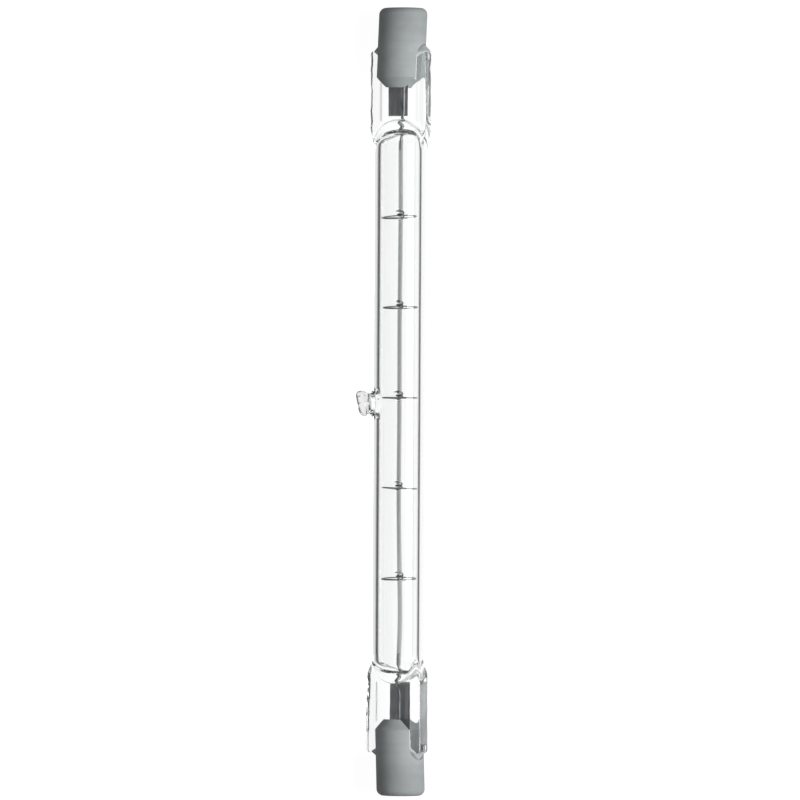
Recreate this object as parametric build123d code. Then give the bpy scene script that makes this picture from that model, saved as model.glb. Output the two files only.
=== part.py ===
from build123d import *
from math import asin, cos, pi, sin
import os

# Double-ended halogen lamp, lying on its tube with the exhaust tip level.
# Millimetres. Each piece is first modelled upright: the lamp's axis is Z, its front is -Y, its
# exhaust tip points to -X. The last section lays the lamp down, with its front facing up.
LAMP_LENGTH = 117.6

# Quartz tube
TUBE_RADIUS = 4.0
TUBE_WALL = 1.0
DOME_SETBACK = 0.1
CAVITY_REACH = 1.5
CAVITY_CROWN = 1.8
CAVITY_CROWN_STEPS = 2

# Exhaust tip, where the filling tube was melted off
TIP_HEIGHT = -0.3
TIP_NECK_RADIUS = 1.6
TIP_FLARE_RADIUS = 2.15
TIP_FLARE_HEIGHT = 0.5
TIP_KNOB_RADIUS = 1.9
TIP_KNOB_THICKNESS = 2.0
TIP_REACH = 2.4
TIP_LEAN = 11.0
TIP_BORE_RADIUS = 1.55
TIP_BORE_END_RADIUS = 1.15
TIP_BORE_REACH = 0.65

# Pressed seals, one at each end of the tube
UPPER_SEAL_WIDTH = 9.2
LOWER_SEAL_WIDTH = 10.1
SEAL_LENGTH = 14.3
SEAL_THICKNESS = 2.7
SEAL_EDGE_ROUND = 0.9
SEAL_HOLLOW = 0.2
SEAL_HOLLOW_WIDTH = 5.6
SEAL_TAPER = 1.7
SEAL_CORNER = 0.7
UPPER_TWIST = 22.0
LOWER_TWIST = 36.0

# Ceramic caps
CAP_RADIUS = 3.6
CAP_LENGTH = 11.9
CAP_END_WALL = 5.4
CAP_END_ROUND = 1.0
CAP_END_STEPS = 2
CAP_MOUTH_BEVEL_LENGTH = 1.5
CAP_MOUTH_BEVEL_DEPTH = 1.25
UPPER_CAP_SHIFT = 0.12
LOWER_CAP_SHIFT = 0.42
CEMENT_GAP = 0.45
CEMENT_END_GAP = 0.9
CEMENT_SETBACK = 1.2
CEMENT_SINK = 0.25

# Contact buttons
CONTACT_DEPTH = 1.7
CONTACT_RECESS_RADIUS = 1.9
CONTACT_HEAD_RADIUS = 1.6
CONTACT_HEAD_THICKNESS = 0.6
CONTACT_SHANK_RADIUS = 0.9
CONTACT_SHANK_LENGTH = 2.6
CONTACT_CLEARANCE = 0.03

# Foils and lead wires
FOIL_WIDTH = 3.1
FOIL_THICKNESS = 0.05
FOIL_START_MARGIN = 2.8
FOIL_END_MARGIN = 1.2
UPPER_FOIL_SHIFT = -0.37
LOWER_FOIL_SHIFT = 0.6
LEAD_RADIUS = 0.225
LEAD_SIDES = 8
LEAD_FLAT = 0.05
LEAD_CLEARANCE = 0.02
INNER_LEAD_WELD = 5.0
OUTER_LEAD_WELD = 2.4
LEAD_JOG = 0.4
LEAD_JOG_LENGTH = 1.1
LEAD_JOG_MARGIN = 0.9
LEAD_SPIGOT = 1.6

# Filament and its wire supports
FILAMENT_RADIUS = 0.36
FILAMENT_SIDES = 12
FILAMENT_END_GAP = 0.4
SUPPORT_COUNT = 5
SUPPORT_END_MARGIN = 12.2
SUPPORT_MIDDLE = 0.6
SUPPORT_WIRE_RADIUS = 0.1
SUPPORT_WIRE_SIDES = 4
SUPPORT_WALL_GAP = 0.3
SUPPORT_SWEEP = 320.0
SUPPORT_WRAP_LENGTH = 0.8
SUPPORT_WRAP_SIDES = 8
SUPPORT_WRAP_CLEARANCE = 0.03
SUPPORT_TURN = 40.0

# Sizes that follow from those above
CAVITY_RADIUS = TUBE_RADIUS - TUBE_WALL
KNOB_MIDDLE = TUBE_RADIUS + TIP_REACH - TIP_KNOB_THICKNESS / 2
HALF_LENGTH = LAMP_LENGTH / 2
CAP_MOUTH = HALF_LENGTH - CAP_LENGTH
SLOT_WIDTH = SEAL_THICKNESS + 2 * CEMENT_GAP
SLOT_BOTTOM = HALF_LENGTH - CAP_END_WALL
SEAL_END = SLOT_BOTTOM - CEMENT_END_GAP
SEAL_START = SEAL_END - SEAL_LENGTH
DOME_CENTRE = SEAL_START - DOME_SETBACK
CAVITY_END = DOME_CENTRE + CAVITY_REACH
CONTACT_FACE = HALF_LENGTH - CONTACT_DEPTH
CONTACT_SEAT = CONTACT_FACE - CONTACT_HEAD_THICKNESS
SHANK_END = CONTACT_SEAT - CONTACT_SHANK_LENGTH
FOIL_START = CAVITY_END + FOIL_START_MARGIN
FOIL_END = SEAL_END - FOIL_END_MARGIN
FOIL_FRONT = LEAD_RADIUS - LEAD_FLAT
LEAD_JOG_END = CAVITY_END + LEAD_JOG_MARGIN
LEAD_JOG_START = LEAD_JOG_END + LEAD_JOG_LENGTH
FILAMENT_END = CAVITY_END - FILAMENT_END_GAP
FILAMENT_BORE_RADIUS = LEAD_RADIUS + LEAD_CLEARANCE
SUPPORT_PITCH = 2 * (FILAMENT_END - SUPPORT_END_MARGIN) / (SUPPORT_COUNT - 1)


def box_between(low, high):
    """A box given by two opposite corners."""
    size = Vector(high) - Vector(low)
    middle = Vector(low) + size / 2
    return Pos(*middle) * Box(*size)


def rod_between(radius, low, high):
    """A rod round the Z axis between two heights."""
    return Pos(0, 0, (low + high) / 2) * Cylinder(radius, high - low)


def turned(points_and_arcs):
    """The solid of revolution about Z of an outline drawn in the XZ plane."""
    return revolve(make_face(points_and_arcs), Axis.Z)


def many_sided_rod(radius, sides, low, high):
    """A rod round the Z axis between two heights, with flat sides that stand radius from the axis."""
    section = RegularPolygon(radius, sides, major_radius=False)
    return Pos(0, 0, low) * extrude(section, high - low)


def upper_end(shape):
    """Puts a piece that was modelled in line with the exhaust tip into the upper seal's plane."""
    return Rot(Z=-UPPER_TWIST) * shape


def lower_end(shape):
    """Turns a piece of the upper end over for the lower end, in the lower seal's plane."""
    return Rot(Z=-LOWER_TWIST) * Rot(Y=180) * shape


def domed_tube_body():
    """The tube's outside: a rod whose ends are half-balls."""
    rod = rod_between(TUBE_RADIUS, -DOME_CENTRE, DOME_CENTRE)
    for end in (-DOME_CENTRE, DOME_CENTRE):
        rod += Pos(0, 0, end) * Sphere(TUBE_RADIUS)
    return rod


def cavity():
    """The tube's inside, whose ends close in a shallow crown of a few conical steps."""
    ball = (CAVITY_RADIUS**2 + CAVITY_CROWN**2) / (2 * CAVITY_CROWN)
    crown_angle = asin(CAVITY_RADIUS / ball)
    half = [(0, CAVITY_END)]
    for step in range(1, CAVITY_CROWN_STEPS + 1):
        angle = crown_angle * step / CAVITY_CROWN_STEPS
        half.append((ball * sin(angle), CAVITY_END - ball + ball * cos(angle)))
    upper = [(out, 0, height) for out, height in half]
    lower = [(out, 0, -height) for out, height in reversed(half)]
    return turned(Polyline(*upper, *lower, close=True))


def tip_knob():
    """The melted button at the end of the exhaust tip, a slice of a ball that leans a little."""
    slice_width = 2 * TIP_KNOB_RADIUS
    knob = Sphere(TIP_KNOB_RADIUS) & Box(slice_width, slice_width, TIP_KNOB_THICKNESS)
    return Pos(-KNOB_MIDDLE, 0, TIP_HEIGHT) * Rot(Y=-90 - TIP_LEAN) * knob


def tip_neck():
    """The stub between the tube and the button, flared where it leaves the tube."""
    neck = rod_between(TIP_NECK_RADIUS, CAVITY_RADIUS, KNOB_MIDDLE)
    flare_length = TUBE_WALL + TIP_FLARE_HEIGHT
    flare = Cone(TIP_FLARE_RADIUS, TIP_NECK_RADIUS, flare_length)
    neck += Pos(0, 0, CAVITY_RADIUS + flare_length / 2) * flare
    return Pos(0, 0, TIP_HEIGHT) * Rot(Y=-90) * neck


def tip_bore():
    """The narrowing hole that is left of the filling tube's bore."""
    inner = CAVITY_RADIUS - TUBE_WALL
    length = TUBE_RADIUS + TIP_BORE_REACH - inner
    bore = Cone(TIP_BORE_RADIUS, TIP_BORE_END_RADIUS, length)
    return Pos(-inner - length / 2, 0, TIP_HEIGHT) * Rot(Y=-90) * bore


def seal_slab(width):
    """The flat pressed end of the tube, with beaded edges and a tapered start."""
    sag = SEAL_HOLLOW
    hollow_radius = (SEAL_HOLLOW_WIDTH**2 / 4 + sag**2) / (2 * sag)
    offset = SEAL_THICKNESS / 2 - sag + hollow_radius
    section = RectangleRounded(width, SEAL_THICKNESS, SEAL_EDGE_ROUND)
    section -= Pos(0, offset) * Circle(hollow_radius)
    section -= Pos(0, -offset) * Circle(hollow_radius)
    slab = Pos(0, 0, SEAL_START) * extrude(section, SEAL_LENGTH)

    half = width / 2
    start = TUBE_RADIUS - SEAL_EDGE_ROUND / 2
    plan = Polyline(
        (-start, 0, SEAL_START),
        (start, 0, SEAL_START),
        (half, 0, SEAL_START + SEAL_TAPER),
        (half, 0, SEAL_END),
        (-half, 0, SEAL_END),
        (-half, 0, SEAL_START + SEAL_TAPER),
        close=True,
    )
    plan_face = make_face(plan)
    end_corners = plan_face.vertices().group_by(Axis.Z)[-1]
    plan_face = fillet(end_corners, SEAL_CORNER)
    slab &= extrude(plan_face, SEAL_THICKNESS, dir=(0, 1, 0), both=True)

    middle = SEAL_START + SEAL_LENGTH / 2
    side = Plane.YZ * Pos(0, middle) * Rectangle(SEAL_THICKNESS, SEAL_LENGTH)
    side = fillet(side.vertices().group_by(Axis.Z)[-1], SEAL_CORNER)
    slab &= extrude(side, width, dir=(1, 0, 0), both=True)
    return slab


def foil(shift):
    """Thin sealing foil, behind the lead wires that are welded to it."""
    low = (shift - FOIL_WIDTH / 2, FOIL_FRONT, FOIL_START)
    high = (shift + FOIL_WIDTH / 2, FOIL_FRONT + FOIL_THICKNESS, FOIL_END)
    return box_between(low, high)


def flattened(wire, weld_low, weld_high):
    """A lead wire with the flat that the weld leaves where it lies on the foil."""
    flat = box_between(
        (-FOIL_WIDTH, FOIL_FRONT, weld_low),
        (FOIL_WIDTH, FOIL_FRONT + LEAD_RADIUS, weld_high),
    )
    return wire - flat


def inner_lead(jog):
    """Lead wire from the foil into the tube, with a small jog, ending inside the filament.

    It is a many-sided wire, as the outer one is.
    """
    weld_end = FOIL_START + INNER_LEAD_WELD
    path = Polyline(
        (jog, 0, weld_end),
        (jog, 0, LEAD_JOG_START),
        (0, 0, LEAD_JOG_END),
        (0, 0, FILAMENT_END - LEAD_SPIGOT),
    )
    section = Pos(jog, 0, weld_end) * RegularPolygon(LEAD_RADIUS, LEAD_SIDES)
    wire = sweep(section, path, transition=Transition.RIGHT)
    return flattened(wire, FOIL_START, weld_end)


def outer_lead(shift):
    """Lead wire from the foil through the end of the seal to the contact."""
    weld_start = FOIL_END - OUTER_LEAD_WELD
    section = Pos(shift, 0, weld_start) * RegularPolygon(LEAD_RADIUS, LEAD_SIDES)
    wire = extrude(section, SHANK_END - weld_start)
    return flattened(wire, weld_start, FOIL_END)


def quartz_envelope():
    """The fused quartz tube with its exhaust tip and both seals, fused round foils and leads."""
    glass = domed_tube_body() + tip_neck() + tip_knob()
    glass += upper_end(seal_slab(UPPER_SEAL_WIDTH))
    glass += lower_end(seal_slab(LOWER_SEAL_WIDTH))

    glass -= cavity() + tip_bore()
    for piece in ("foil", "inner_lead", "outer_lead"):
        glass -= pieces["upper_" + piece]
        glass -= pieces["lower_" + piece]
    return glass


def slot_space(sink, mouth):
    """The cap's slot for the seal: straight walls and a round bottom, inside the cap less a sink."""
    arc_radius = SLOT_WIDTH / 2
    arc_centre = SLOT_BOTTOM - arc_radius
    length = arc_centre - mouth
    walls = Plane.YZ * Pos(0, mouth + length / 2) * Rectangle(SLOT_WIDTH, length)
    bottom = Plane.YZ * Pos(0, arc_centre) * Circle(arc_radius)
    prism = extrude(walls + bottom, 2 * CAP_RADIUS, dir=(1, 0, 0), both=True)
    return prism & rod_between(CAP_RADIUS - sink, mouth, HALF_LENGTH)


def cap(shift):
    """Ceramic cap: bevelled mouth, slot for the seal, recess and hole for the contact."""
    bevel_radius = CAP_RADIUS - CAP_MOUTH_BEVEL_DEPTH
    outline = [
        (0, 0, HALF_LENGTH),
        (0, 0, CAP_MOUTH),
        (bevel_radius, 0, CAP_MOUTH),
        (CAP_RADIUS, 0, CAP_MOUTH + CAP_MOUTH_BEVEL_LENGTH),
    ]
    for step in range(CAP_END_STEPS + 1):
        angle = pi / 2 * step / CAP_END_STEPS
        out = CAP_RADIUS - CAP_END_ROUND * (1 - cos(angle))
        outline.append((out, 0, HALF_LENGTH - CAP_END_ROUND * (1 - sin(angle))))
    body = turned(Polyline(*outline, close=True))
    body -= slot_space(-CAP_RADIUS, CAP_MOUTH)
    body -= rod_between(CONTACT_RECESS_RADIUS, CONTACT_FACE, HALF_LENGTH)
    body -= rod_between(CONTACT_HEAD_RADIUS + CONTACT_CLEARANCE, CONTACT_SEAT, CONTACT_FACE)
    body -= rod_between(CONTACT_SHANK_RADIUS + CONTACT_CLEARANCE, SLOT_BOTTOM - SLOT_WIDTH / 2, CONTACT_SEAT)
    return Pos(shift, 0, 0) * body


def contact(shift):
    """Contact button with a shank, to whose end the lead is welded."""
    button = rod_between(CONTACT_HEAD_RADIUS, CONTACT_SEAT, CONTACT_FACE)
    button += rod_between(CONTACT_SHANK_RADIUS, SHANK_END, CONTACT_SEAT)
    return Pos(shift, 0, 0) * button


def cement(shift, seal_width):
    """Cement that fills the slot round the end of the seal."""
    filling = Pos(shift, 0, 0) * slot_space(CEMENT_SINK, CAP_MOUTH + CEMENT_SETBACK)
    filling -= Pos(shift, 0, 0) * rod_between(CONTACT_SHANK_RADIUS, SHANK_END, HALF_LENGTH)
    return filling - seal_slab(seal_width) - outer_lead(shift)


def filament():
    """The coil's outer form, a sleeve that the spigots of both inner leads sit in."""
    sleeve = many_sided_rod(FILAMENT_RADIUS, FILAMENT_SIDES, -FILAMENT_END, FILAMENT_END)
    return sleeve - many_sided_rod(FILAMENT_BORE_RADIUS, FILAMENT_SIDES, -FILAMENT_END, FILAMENT_END)


def filament_support():
    """Bent wire: a ring inside the tube, an arm inward, and close turns round the filament.

    The wire is square here, and the close turns are one many-sided sleeve.
    """
    ring_radius = CAVITY_RADIUS - SUPPORT_WALL_GAP - SUPPORT_WIRE_RADIUS
    wrap_radius = FILAMENT_RADIUS + SUPPORT_WRAP_CLEARANCE + SUPPORT_WIRE_RADIUS
    section = RegularPolygon(SUPPORT_WIRE_RADIUS, SUPPORT_WIRE_SIDES)
    ring = revolve(Pos(ring_radius, 0, 0) * Plane.XZ * section, Axis.Z, -SUPPORT_SWEEP)
    arm = Pos(wrap_radius, 0, 0) * extrude(Plane.YZ * section, ring_radius - wrap_radius)

    low = -SUPPORT_WIRE_RADIUS
    high = low + SUPPORT_WRAP_LENGTH
    outside = wrap_radius + SUPPORT_WIRE_RADIUS
    inside = wrap_radius - SUPPORT_WIRE_RADIUS
    wraps = many_sided_rod(outside, SUPPORT_WRAP_SIDES, low, high)
    wraps -= many_sided_rod(inside, SUPPORT_WRAP_SIDES, low, high)
    return ring + arm + wraps


pieces = {}
for name, place, side, seal_width, cap_shift, foil_shift in (
    ("upper", upper_end, 1, UPPER_SEAL_WIDTH, UPPER_CAP_SHIFT, UPPER_FOIL_SHIFT),
    ("lower", lower_end, -1, LOWER_SEAL_WIDTH, LOWER_CAP_SHIFT, LOWER_FOIL_SHIFT),
):
    pieces[name + "_foil"] = place(foil(side * foil_shift))
    pieces[name + "_inner_lead"] = place(inner_lead(side * LEAD_JOG))
    pieces[name + "_outer_lead"] = place(outer_lead(side * cap_shift))
    pieces[name + "_contact"] = place(contact(side * cap_shift))
    pieces[name + "_cement"] = place(cement(side * cap_shift, seal_width))
    pieces[name + "_cap"] = place(cap(side * cap_shift))

pieces["quartz_envelope"] = quartz_envelope()
pieces["filament"] = filament()
for index in range(SUPPORT_COUNT):
    height = SUPPORT_MIDDLE + SUPPORT_PITCH * ((SUPPORT_COUNT - 1) / 2 - index)
    turn = SUPPORT_TURN * index
    pieces[f"filament_support_{index + 1}"] = Pos(0, 0, height) * Rot(Z=turn) * filament_support()

# Lying down, with the seals slanting and their near edges to the right
laid = {name: Rot(X=-90) * shape for name, shape in pieces.items()}
extent = Compound(list(laid.values())).bounding_box()
to_origin = Pos(-extent.center().X, -extent.center().Y, -extent.min.Z)

os.makedirs("parts", exist_ok=True)
for name, shape in laid.items():
    export_step(to_origin * shape, f"parts/{name}.step")
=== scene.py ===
import bpy
import numpy as np
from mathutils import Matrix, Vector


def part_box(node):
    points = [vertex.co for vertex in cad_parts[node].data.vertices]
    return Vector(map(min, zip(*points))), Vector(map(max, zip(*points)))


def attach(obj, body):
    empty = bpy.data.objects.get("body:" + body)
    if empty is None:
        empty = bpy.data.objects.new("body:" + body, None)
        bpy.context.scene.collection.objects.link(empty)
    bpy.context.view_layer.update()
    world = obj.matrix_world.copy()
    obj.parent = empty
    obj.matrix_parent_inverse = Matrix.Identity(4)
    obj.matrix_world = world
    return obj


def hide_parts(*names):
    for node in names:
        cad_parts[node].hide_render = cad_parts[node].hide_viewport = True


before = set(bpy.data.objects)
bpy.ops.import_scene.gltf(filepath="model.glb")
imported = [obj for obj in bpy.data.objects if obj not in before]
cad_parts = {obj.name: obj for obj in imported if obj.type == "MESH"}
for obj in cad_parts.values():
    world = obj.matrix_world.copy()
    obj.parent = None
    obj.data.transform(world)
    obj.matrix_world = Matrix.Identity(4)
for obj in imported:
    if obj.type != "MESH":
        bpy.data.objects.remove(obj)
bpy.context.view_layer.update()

# The filament: a close coil of thin tungsten wire, wound on a mandrel and stretched along the
# middle of the tube, with its end turns slipped over the lead wires. It bows a little, and sags to
# the right near its lower end.
link_object = bpy.context.scene.collection.objects.link
MM = 0.001
TURN = 2 * np.pi
filament_low, filament_high = (np.array(corner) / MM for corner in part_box("filament"))
AXIS_X, _, AXIS_Z = (filament_low + filament_high) / 2
COIL_END = filament_high[1]
COIL_RADIUS = 0.39
COIL_WIRE_RADIUS = 0.072
COIL_PITCH = 0.331
COIL_STEPS = 18
COIL_SIDES = 6
COIL_BOW = 0.06
COIL_WAVES = ((1.0, 2.2, -0.4), (0.6, 7.0, 2.0))
COIL_SAG = 0.3
COIL_SAG_BELL = (-0.85, 0.4)
# Painted shade: the coil's colour darkens towards its left side, by these places and this tone.
COIL_SHADE_START = 0.2
COIL_SHADE_FULL = -0.1
COIL_SHADE_TONE = 0.12
TUNGSTEN_TONES = ((0.26, 0.26, 0.263), (0.46, 0.46, 0.465))
TONE_RUN = (0.3, 0.7)
METAL_RELIEF = 0.1


def round_steps(count):
    """Even angles once round, from 0 on."""
    return np.linspace(0, TURN, count, endpoint=False)


def bell(value, middle, width):
    """A bell curve: exp(-((value - middle) / width)^2)."""
    return np.exp(-(((value - middle) / width) ** 2))


def strip_faces(rows, columns, first=0):
    """Index rows of the squares between the rings of a grid whose columns run round."""
    row, column = np.meshgrid(np.arange(rows - 1), np.arange(columns), indexing="ij")
    beside = (column + 1) % columns
    corners = [row * columns + column, row * columns + beside]
    corners += [(row + 1) * columns + beside, (row + 1) * columns + column]
    return np.stack(corners, axis=-1).reshape(-1, 4) + first


def fan_faces(ring, pole):
    """Index rows of the triangles between a ring of points and one point in its middle."""
    return np.stack([np.roll(ring, -1), ring, np.full_like(ring, pole)], axis=-1)


def closed_shell(rings):
    """A grid of rings, (rows, columns, 3), closed at both ends on the middle of its end ring."""
    rows, columns, _ = rings.shape
    count = rows * columns
    poles = rings[[0, -1]].mean(axis=1)
    points = np.concatenate([rings.reshape(-1, 3), poles])
    first = np.arange(columns)
    ends = [fan_faces(first, count), fan_faces(first[::-1] + count - columns, count + 1)]
    return points, [strip_faces(rows, columns), *ends]


def facing_out(shell, hollow):
    """Turns a closed shell's faces outwards, or into its hollow, by the sign of its volume."""
    points, faces = shell
    volume = 0.0
    for rows in faces:
        for corner in range(1, rows.shape[1] - 1):
            beside = np.cross(points[rows[:, corner]], points[rows[:, corner + 1]])
            volume += np.sum(points[rows[:, 0]] * beside)
    if (volume < 0) != hollow:
        faces = [rows[:, ::-1] for rows in faces]
    return points, faces


def shell_mesh(name, shells, hollows=()):
    """A smooth mesh of closed shells, given in mm, whose hollows are shells that face inwards."""
    points, faces, count = [], [], 0
    for hollow, group in ((False, shells), (True, hollows)):
        for shell in group:
            shell_points, shell_faces = facing_out(shell, hollow)
            points.append(shell_points * MM)
            for rows in shell_faces:
                faces.extend((rows + count).tolist())
            count += len(shell_points)
    mesh = bpy.data.meshes.new(name)
    mesh.from_pydata(np.concatenate(points), [], faces)
    mesh.shade_smooth()
    return mesh


def make_piece(name, shells, node, finish, hollows=()):
    """A piece of closed shells that stands for a CAD node, which it hides, and wears a finish."""
    mesh = shell_mesh(name, shells, hollows)
    piece = bpy.data.objects.new(name, mesh)
    link_object(piece)
    mesh.materials.append(finish)
    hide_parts(node)
    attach(piece, "root")
    return piece


def wire_rings(path, across_radius, other_radius, sides, hint):
    """Ovals square to a path: path + across_radius * cos(a) * across + other_radius * sin(a) * other.

    across is the part of hint that is square to the path's direction, and other is square to both.
    """
    direction = np.gradient(path, axis=0)
    direction /= np.linalg.norm(direction, axis=1, keepdims=True)
    across = hint - np.sum(hint * direction, axis=1, keepdims=True) * direction
    across /= np.linalg.norm(across, axis=1, keepdims=True)
    other = np.cross(direction, across)
    angle = round_steps(sides)[None, :, None]
    wide = np.broadcast_to(across_radius, len(path))[:, None, None]
    high = np.broadcast_to(other_radius, len(path))[:, None, None]
    oval = wide * np.cos(angle) * across[:, None] + high * np.sin(angle) * other[:, None]
    return path[:, None] + oval


def new_finish(name):
    """A material with a Principled shader: the material, its node tree and the shader."""
    material = bpy.data.materials.new(name)
    material.use_nodes = True
    return material, material.node_tree, material.node_tree.nodes["Principled BSDF"]


def set_inputs(tree, target, inputs):
    """Links or sets a node's inputs, given by label with underscores for spaces, or by number."""
    for label, value in inputs.items():
        key = label.replace("_", " ") if isinstance(label, str) else label
        if isinstance(value, bpy.types.NodeSocket):
            tree.links.new(value, target.inputs[key])
        else:
            target.inputs[key].default_value = value


def add_node(tree, kind, options=None, **inputs):
    """A shader node of the given kind, with its options and inputs."""
    made = tree.nodes.new("ShaderNode" + kind)
    for option, value in (options or {}).items():
        setattr(made, option, value)
    set_inputs(tree, made, inputs)
    return made


def reckon(tree, operation, first, second):
    """One step of arithmetic on two numbers or sockets."""
    step = add_node(tree, "Math", {"operation": operation})
    set_inputs(tree, step, {0: first, 1: second})
    return step.outputs[0]


def grain(tree, size, stretch=(1, 1, 1), detail=3.0):
    """Noise on the object's own coordinates, with lumps about size mm across, drawn out by stretch."""
    place = add_node(tree, "TexCoord").outputs["Object"]
    scale = [1 / (MM * size * part) for part in stretch]
    spread = add_node(tree, "Mapping", Vector=place, Scale=scale).outputs["Vector"]
    return add_node(tree, "TexNoise", Vector=spread, Scale=1.0, Detail=detail).outputs["Fac"]


def two_tone(tree, factor, tones):
    """A colour between two tones, as a factor goes through the middle of its range."""
    ramp = add_node(tree, "ValToRGB", Fac=factor)
    for stop, position, tone in zip(ramp.color_ramp.elements, TONE_RUN, tones):
        stop.position = position
        stop.color = (*tone, 1)
    return ramp.outputs["Color"]


def relief(tree, height, depth):
    """A bump of the given depth in mm from a height between 0 and 1."""
    return add_node(tree, "Bump", Height=height, Distance=depth * MM, Strength=1.0).outputs["Normal"]


def metal_finish(name, tones, roughness, size, stretch):
    """A drawn or rolled metal: two tones and fine lines along the way that it was drawn."""
    material, tree, shader = new_finish(name)
    lines = grain(tree, size, stretch)
    normal = relief(tree, lines, size * METAL_RELIEF)
    set_inputs(tree, shader, {"Base_Color": two_tone(tree, lines, tones), "Normal": normal})
    set_inputs(tree, shader, {"Metallic": 1.0, "Roughness": roughness})
    return material


def mix_colours(tree, share, first, second, blend="MIX"):
    """Two colours in a blend, with more of the second as a share goes from 0 to 1."""
    mixed = add_node(tree, "Mix", {"data_type": "RGBA", "blend_type": blend})
    set_inputs(tree, mixed, {0: share, 6: first, 7: second})
    return mixed.outputs[2]


def shade(material, share, tone):
    """Multiplies a finish's colour by a grey tone, by a share. A tone over 1 lightens it."""
    tree = material.node_tree
    base = tree.nodes["Principled BSDF"].inputs["Base Color"]
    colour = base.links[0].from_socket
    tree.links.new(mix_colours(tree, share, colour, (tone, tone, tone, 1), "MULTIPLY"), base)


def object_place(tree):
    """The object's own coordinates, as three outputs."""
    return add_node(tree, "SeparateXYZ", Vector=add_node(tree, "TexCoord").outputs["Object"]).outputs


def ranged(tree, value, start, end, first=0.0, last=1.0):
    """A number that goes from first to last as a value goes from start to end."""
    made = add_node(tree, "MapRange", Value=value, From_Min=start, From_Max=end)
    set_inputs(tree, made, {"To_Min": first, "To_Max": last})
    return made.outputs[0]


def share_between(tree, value, start, end):
    """A share that goes from 0 to 1 as a length goes from start to end, both in mm."""
    return ranged(tree, value, start * MM, end * MM)


def filament_bow(y):
    """Sideways place of the coil's middle at a height: two slow waves and a sag near the lower end.

    The sag is a bell curve. With s as the share of the way to an end, 1 - s^4 brings the waves to
    nothing at the coil's ends, and 1 - s^12 the sag.
    """
    share = np.clip(y / COIL_END, -1, 1)
    waves = sum(height * np.sin(share * pace + phase) for height, pace, phase in COIL_WAVES)
    sag = bell(share, *COIL_SAG_BELL) * (1 - share**12)
    return COIL_BOW * (1 - share**4) * waves + COIL_SAG * sag


coil_turns = round(2 * COIL_END / COIL_PITCH)
coil_angle = np.linspace(0, TURN * coil_turns, coil_turns * COIL_STEPS + 1)
coil_y = np.linspace(-COIL_END + COIL_WIRE_RADIUS, COIL_END - COIL_WIRE_RADIUS, len(coil_angle))
coil_out = np.stack([np.cos(coil_angle), 0 * coil_angle, np.sin(coil_angle)], axis=1)
coil_middle = np.stack([AXIS_X + filament_bow(coil_y), coil_y, 0 * coil_y + AXIS_Z], axis=1)
coil_path = coil_middle + (COIL_RADIUS - COIL_WIRE_RADIUS) * coil_out
coil_rings = wire_rings(coil_path, COIL_WIRE_RADIUS, COIL_WIRE_RADIUS, COIL_SIDES, coil_out)
tungsten = metal_finish("tungsten", TUNGSTEN_TONES, roughness=0.5, size=0.3, stretch=(1, 4, 1))
# Painted shade: the tungsten darkens left of the coil's middle, for the side that the lamps leave dark.
coil_x = object_place(tungsten.node_tree)["X"]
painted_coil_shade = share_between(tungsten.node_tree, coil_x, AXIS_X + COIL_SHADE_START, AXIS_X + COIL_SHADE_FULL)
shade(tungsten, painted_coil_shade, COIL_SHADE_TONE)
make_piece("filament_coil", [closed_shell(coil_rings)], "filament", tungsten)

# The filament supports: five bits of thin wire, each bent cold into a ring that stands off the
# tube's wall, an arm to the middle and a turn or two that grip the coil, with a short tail.
SUPPORT_RADIUS = 0.09
SUPPORT_SIDES = 8
SUPPORT_STEPS = {"tail": 8, "grip": 90, "arm": 22, "ring": 80}
RING_RADIUS = 2.56
RING_SHIFTS = (-0.2, 0.05, 0.05, 0.12, 0.03)
BEND_SWEEP = np.radians(400)
ARM_SWEEP = np.radians(58)
GRIP_RADIUS = COIL_RADIUS + SUPPORT_RADIUS
GRIP_TURNS = 1.5
GRIP_RISE = 0.7
GRIP_UNEVEN = 0.18
TAIL_SWEEP = np.radians(75)
TAIL_REACH = 0.35
ARM_TURNS = np.radians((105, 120, 98, 115, 108))
RING_LEANS = (-0.10, -0.075, -0.02, 0.015, -0.06)
RING_SLANTS = (0.055, 0.02, 0.0, -0.035, 0.02)
SUPPORT_TONES = ((0.09, 0.09, 0.091), (0.28, 0.28, 0.283))
# Painted shade: the wire darkens close to the coil, where its turns crowd together and shade each other.
GRIP_SHADE_FULL_RADIUS = 0.65
GRIP_SHADE_START_RADIUS = 1.0
GRIP_SHADE_TONE = 0.06


def eased(share):
    """A rise from 0 to 1 with level ends: 3 s^2 - 2 s^3."""
    share = np.clip(share, 0, 1)
    return share * share * (3 - 2 * share)


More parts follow.
